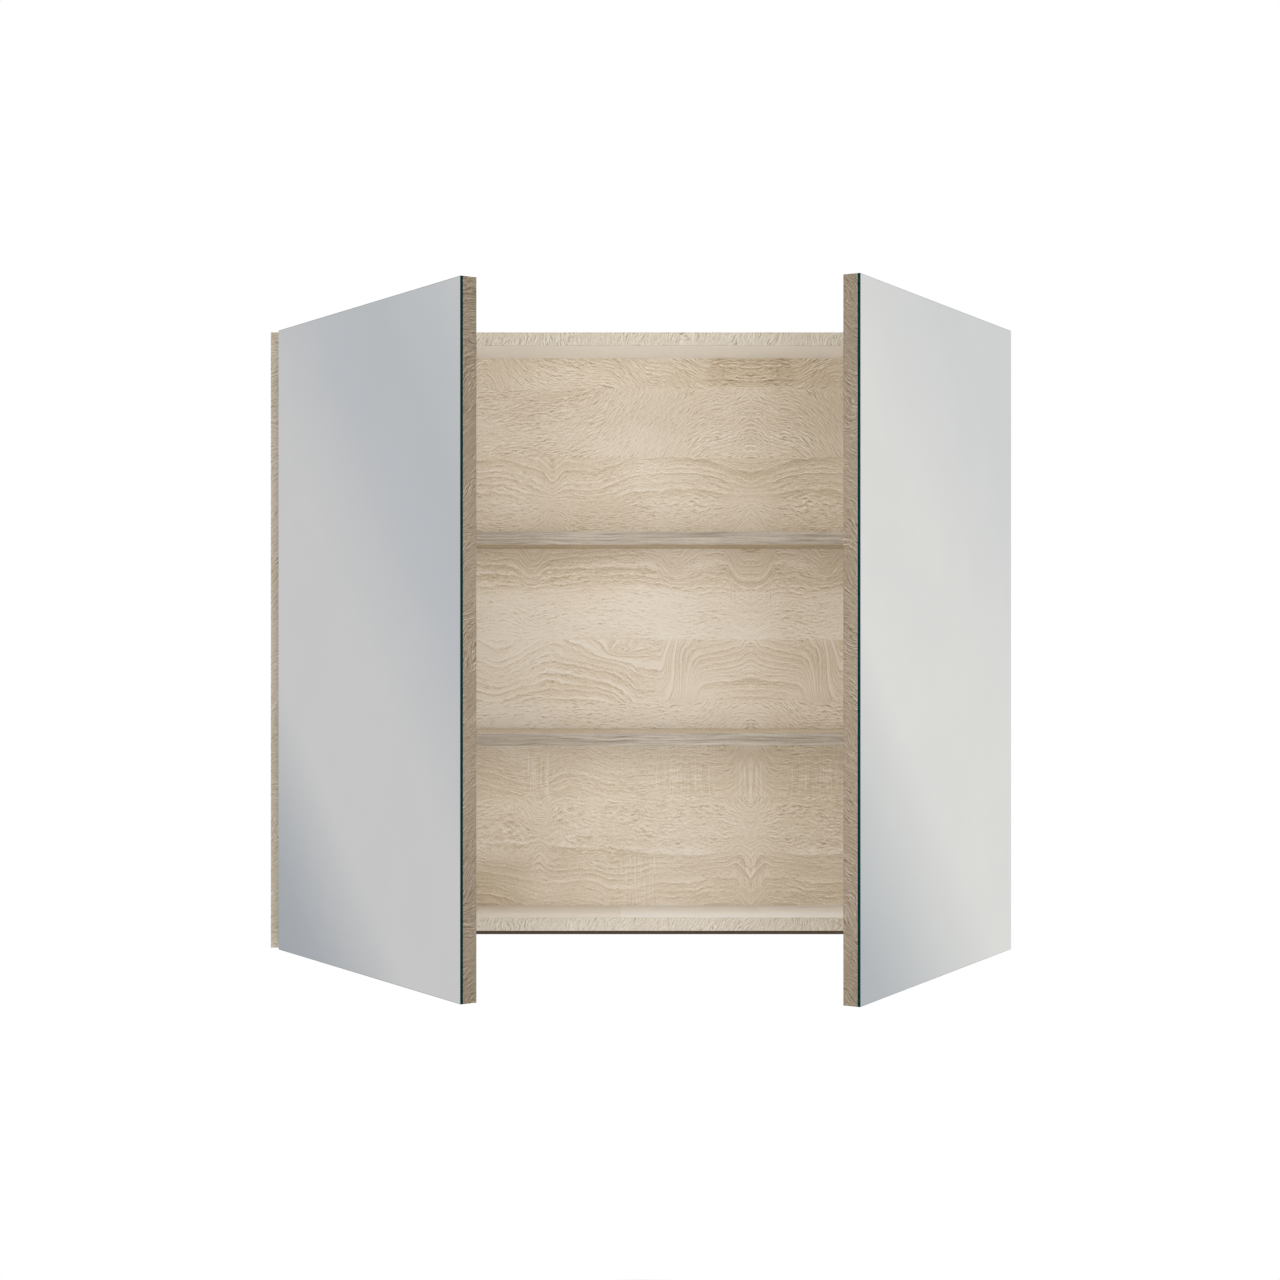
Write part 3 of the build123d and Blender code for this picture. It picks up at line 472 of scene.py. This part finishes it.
DOOR_SHADES = [(0.0, (66, 51, 34)), (0.35, (93, 79, 61)), (0.6, (120, 107, 91)), (0.8, (143, 133, 119)), (1.0, (168, 160, 149))]
FRONT_SHADES = [(0.0, (120, 98, 70)), (0.35, (165, 150, 128)), (0.6, (198, 189, 174)), (0.8, (214, 209, 199)), (1.0, (230, 227, 220))]
SIDE_SHADES = [(0.0, (125, 104, 78)), (0.35, (172, 156, 132)), (0.6, (204, 193, 174)), (0.8, (220, 212, 198)), (1.0, (234, 230, 222))]
M["edge_side"] = edge_oak("oak_edge_side", UP, X, SIDE_SHADES, seed=5.0)
M["edge_front"] = edge_oak("oak_edge_front", X, UP, FRONT_SHADES, seed=8.0, slant=0.35)
M["edge_door_l"] = edge_oak("oak_edge_door_left", UP, tuple(left_back), DOOR_SHADES, seed=11.0)
M["edge_door_r"] = edge_oak("oak_edge_door_right", UP, tuple(right_back), DOOR_SHADES, seed=14.0, slant=0.5)


# ------------------------------------------------------------------ mirror glass
def mirror_glass(name, back):
    m, t = new_material(name)
    n = t.own_normal()
    p = t.place()
    facing = t.mul(t.dot(n, tuple(back)), -1.0)
    face = t.fit(facing, 0.90, 0.96)
    arris = t.mul(t.fit(facing, 0.35, 0.55), t.sub(1.0, face))
    haze = t.noise(t.vec(t.dot(p, X), t.dot(p, Y), t.dot(p, UP)), 9.0, 3.0, 0.6)
    streak = t.noise(t.vec(t.dot(p, X), t.dot(p, Y), t.mul(t.dot(p, UP), 7.0)), 60.0, 3.0, 0.6)
    silver = t.mix(t.fit(haze, 0.3, 0.7), rgb(243, 245, 245), rgb(240, 243, 243))
    depth = t.mix(t.fit(streak, 0.35, 0.65), rgb(0, 30, 29), rgb(1, 44, 42))
    edge = t.mix(arris, depth, rgb(6, 48, 46))
    colour = t.mix(face, edge, silver)
    metal = face
    rough = t.mixf(face, t.mixf(arris, 0.16, 0.22), 0.008)
    b = t.surface(Base_Color=colour, Metallic=metal, Roughness=rough)
    b.inputs["IOR"].default_value = 1.52
    b.inputs["Specular IOR Level"].default_value = 0.04
    return m


M["mirror_l"] = mirror_glass("mirror_glass_left", left_back)
M["mirror_r"] = mirror_glass("mirror_glass_right", right_back)


# ------------------------------------------------------------------ metal, plastic, beech
def plated(name, colour, rough, seed=0.0, grain=0.0):
    m, t = new_material(name)
    p = t.place()
    a = t.noise(p, 260.0, 3.0, 0.6)
    b = t.noise(p, 1400.0, 2.0, 0.6)
    lay = t.noise(t.vec(t.mul(t.dot(p, X), 900.0), t.mul(t.dot(p, Y), 900.0), t.mul(t.dot(p, UP), 40.0)), 1.0, 2.0, 0.5)
    tint = t.mix(t.fit(a, 0.3, 0.7), rgb(*colour), rgb(*[v * 0.93 for v in colour]))
    height = t.add(t.mul(b, 0.35), t.mul(lay, grain))
    t.surface(Base_Color=tint, Metallic=1.0, Roughness=t.add(rough, t.mul(t.sub(a, 0.5), 0.16)), Normal=t.bump(height, 0.25, 0.00004))
    return m


def plastic(name, colour, rough, coat=0.0):
    m, t = new_material(name)
    p = t.place()
    a = t.noise(p, 400.0, 3.0, 0.6)
    b = t.noise(p, 2600.0, 2.0, 0.6)
    tint = t.mix(t.fit(a, 0.3, 0.7), rgb(*colour), rgb(*[v * 0.95 for v in colour]))
    t.surface(Base_Color=tint, Roughness=t.add(rough, t.mul(t.sub(b, 0.5), 0.12)), Normal=t.bump(b, 0.3, 0.00004))
    return m


M["steel"] = plated("plated_steel", (205, 204, 200), 0.24, grain=0.4)
M["cast"] = plated("zinc_casting", (178, 178, 176), 0.42)
M["cap"] = plastic("cap_plastic", (203, 188, 167), 0.5)
M["buffer"] = plastic("buffer_plastic", (228, 228, 224), 0.25)
M["beech"] = edging("beech", X, UP, (222, 190, 148), (205, 170, 128), (180, 144, 104), seed=1.0, long=0.4)

assign = {
    "back_panel": "back", "top_panel": "top", "bottom_panel": "bottom", "shelf_upper": "shelf", "shelf_lower": "shelf",
    "left_side_panel": "side", "right_side_panel": "side", "left_door_board": "door_l", "right_door_board": "door_r",
    "left_side_edge_band": "edge_side", "right_side_edge_band": "edge_side", "top_edge_band": "edge_front",
    "bottom_edge_band": "edge_front", "shelf_upper_edge_band": "edge_shelf", "shelf_lower_edge_band": "edge_shelf",
    "left_door_edge_band": "edge_door_l", "right_door_edge_band": "edge_door_r", "left_mirror": "mirror_l",
    "right_mirror": "mirror_r", "wood_dowels": "beech", "cam_cover_caps": "cap", "cam_housings": "cast",
    "left_door_buffers": "buffer", "right_door_buffers": "buffer",
}
for name, o in nodes.items():
    mat = M[assign.get(name, "steel")]
    o.data.materials.clear()
    o.data.materials.append(mat)
    for poly in o.data.polygons:
        poly.material_index = 0


# ------------------------------------------------------------------ floor, camera, light
def stage_floor():
    """A pale floor disc well below the hanging cabinet."""
    bpy.ops.mesh.primitive_circle_add(vertices=96, radius=2.6, fill_type="NGON", location=(0, -0.75, -1.72))
    o = bpy.context.object
    o.name = "floor"
    m, t = new_material("floor_pale")
    p = t.place()
    n = t.noise(p, 3.0, 4.0, 0.6)
    t.surface(Base_Color=t.mix(t.fit(n, 0.3, 0.7), rgb(252, 252, 251), rgb(247, 247, 246)), Roughness=0.7)
    o.data.materials.append(m)


stage_floor()

CAM_Y, CAM_Z = -2.596, -0.315
cam = bpy.data.cameras.new("camera")
cam.sensor_width = 36.0
cam.sensor_fit = "HORIZONTAL"
cam.lens = 56.95
cam.clip_end = 50.0
camera = bpy.data.objects.new("camera", cam)
bpy.context.scene.collection.objects.link(camera)
camera.location = (0.0, CAM_Y, CAM_Z)
camera.rotation_euler = (math.radians(90), 0, 0)
bpy.context.scene.camera = camera


def area(name, loc, aim, size, power, colour=(1, 1, 1), size_y=None):
    l = bpy.data.lights.new(name, "AREA")
    l.shape = "RECTANGLE"
    l.size = size
    l.size_y = size_y or size
    l.energy = power
    l.color = colour
    o = bpy.data.objects.new(name, l)
    o.location = loc
    o.rotation_euler = (Vector(aim) - Vector(loc)).to_track_quat("-Z", "Y").to_euler()
    bpy.context.scene.collection.objects.link(o)
    o.visible_glossy = False
    o.visible_camera = False
    return o


AIM = (0.0, -0.1, -0.31)
area("left_wall", (-2.2, -2.2, -0.3), AIM, 1.4, 9.0, size_y=2.0)
area("high_left", (-1.3, -1.9, 1.5), AIM, 1.2, 9.2, size_y=1.2)
area("over", (0.0, -0.75, 1.5), (0.0, -0.3, -0.3), 1.6, 14.7, size_y=0.8)
area("under", (0.0, -0.9, -1.55), (0.0, -0.1, -0.2), 1.6, 2.6, size_y=0.8)
area("inner_fill", (0.0, -0.95, -0.31), AIM, 0.5, 2.6, size_y=0.9)
area("inner_right", (0.32, -0.95, -0.31), AIM, 0.2, 2.5, size_y=0.9)
area("inner_left", (-0.32, -0.95, -0.31), AIM, 0.2, 1.4, size_y=0.9)


# ------------------------------------------------------------------ surroundings
def surroundings():
    """White to the eye; soft grey studio walls to a mirror; an even dome for the light."""
    w = bpy.data.worlds.new("studio")
    bpy.context.scene.world = w
    w.use_nodes = True
    t = Tree(w)
    d = t.node("ShaderNodeTexCoord").outputs["Generated"]

    def grey(v):
        return (lin(v), lin(v), lin(v), 1.0)

    def wall(back, stops):
        """Soft diagonal gradient on the wall that one door's mirror looks at.
        Its coordinate runs down and to the left over the directions seen in that mirror."""
        n = Vector((-back.x, -back.y, 0.0))
        # a direction is folded back through the mirror plane, then read as a slope
        v = t.node("ShaderNodeVectorMath", operation="REFLECT")
        t.put(v.inputs[0], d)
        v.inputs[1].default_value = tuple(n)
        sep = t.node("ShaderNodeSeparateXYZ")
        t.put(sep.inputs[0], v.outputs[0])
        depth = t.math("MAXIMUM", sep.outputs[1], 0.25)
        across = t.math("DIVIDE", sep.outputs[0], depth)
        up = t.math("DIVIDE", sep.outputs[2], depth)
        k = t.sub(t.mul(up, -2025.0), t.mul(across, 2.4 * 2025.0))
        return t.ramp(t.fit(k, -1700.0, 2300.0), stops)

    def at(v):
        return (v + 1700.0) / 4000.0

    # k = (y - 640) - 2.4 (x - 640) in the first view
    left = wall(left_back, [(at(60), rgb(203, 203, 205)), (at(290), rgb(192, 194, 197)), (at(430), rgb(194, 195, 199)),
                            (at(660), rgb(208, 206, 206)), (at(905), rgb(208, 206, 206)), (at(1080), rgb(177, 179, 184)),
                            (at(1500), rgb(135, 142, 152))])
    right = wall(right_back, [(at(-1060), rgb(217, 217, 217)), (at(-800), rgb(228, 226, 223)), (at(-550), rgb(229, 227, 224)),
                              (at(-410), rgb(214, 214, 213)), (at(-230), rgb(190, 192, 195)), (at(100), rgb(175, 178, 182))])
    sep = t.node("ShaderNodeSeparateXYZ")
    t.put(sep.inputs[0], d)
    dx, dy, dz = sep.outputs
    walls = t.mix(t.fit(dx, -0.2, 0.2), left, right)
    # room side, seen only from other angles: lighter high up
    room = t.ramp(t.fit(dz, -0.8, 0.9), [(0.0, grey(196)), (0.40, grey(205)), (0.62, grey(224)), (1.0, grey(246))], "EASE")
    seen = t.mix(t.fit(dy, 0.05, 0.30), room, walls)
    # even light: 0.25 from the front above, 0.20 from the front below, more from the sides and behind
    light = t.mixf(t.fit(dz, -0.05, 0.05), 0.20, 0.25)
    light = t.mixf(t.fit(dy, -0.05, 0.15), light, 0.85)
    light = t.node_colour(light)
    path = t.node("ShaderNodeLightPath")
    col = t.mix(path.outputs["Is Glossy Ray"], light, seen)
    col = t.mix(path.outputs["Is Camera Ray"], col, (1.0, 1.0, 1.0, 1.0))
    bg = t.node("ShaderNodeBackground")
    t.put(bg.inputs["Color"], col)
    bg.inputs["Strength"].default_value = 1.0
    out = t.node("ShaderNodeOutputWorld")
    t.t.links.new(bg.outputs[0], out.inputs["Surface"])


surroundings()

vs = bpy.context.scene.view_settings
vs.view_transform = "Standard"
vs.look = "None"
vs.exposure = 0.0
vs.gamma = 1.0
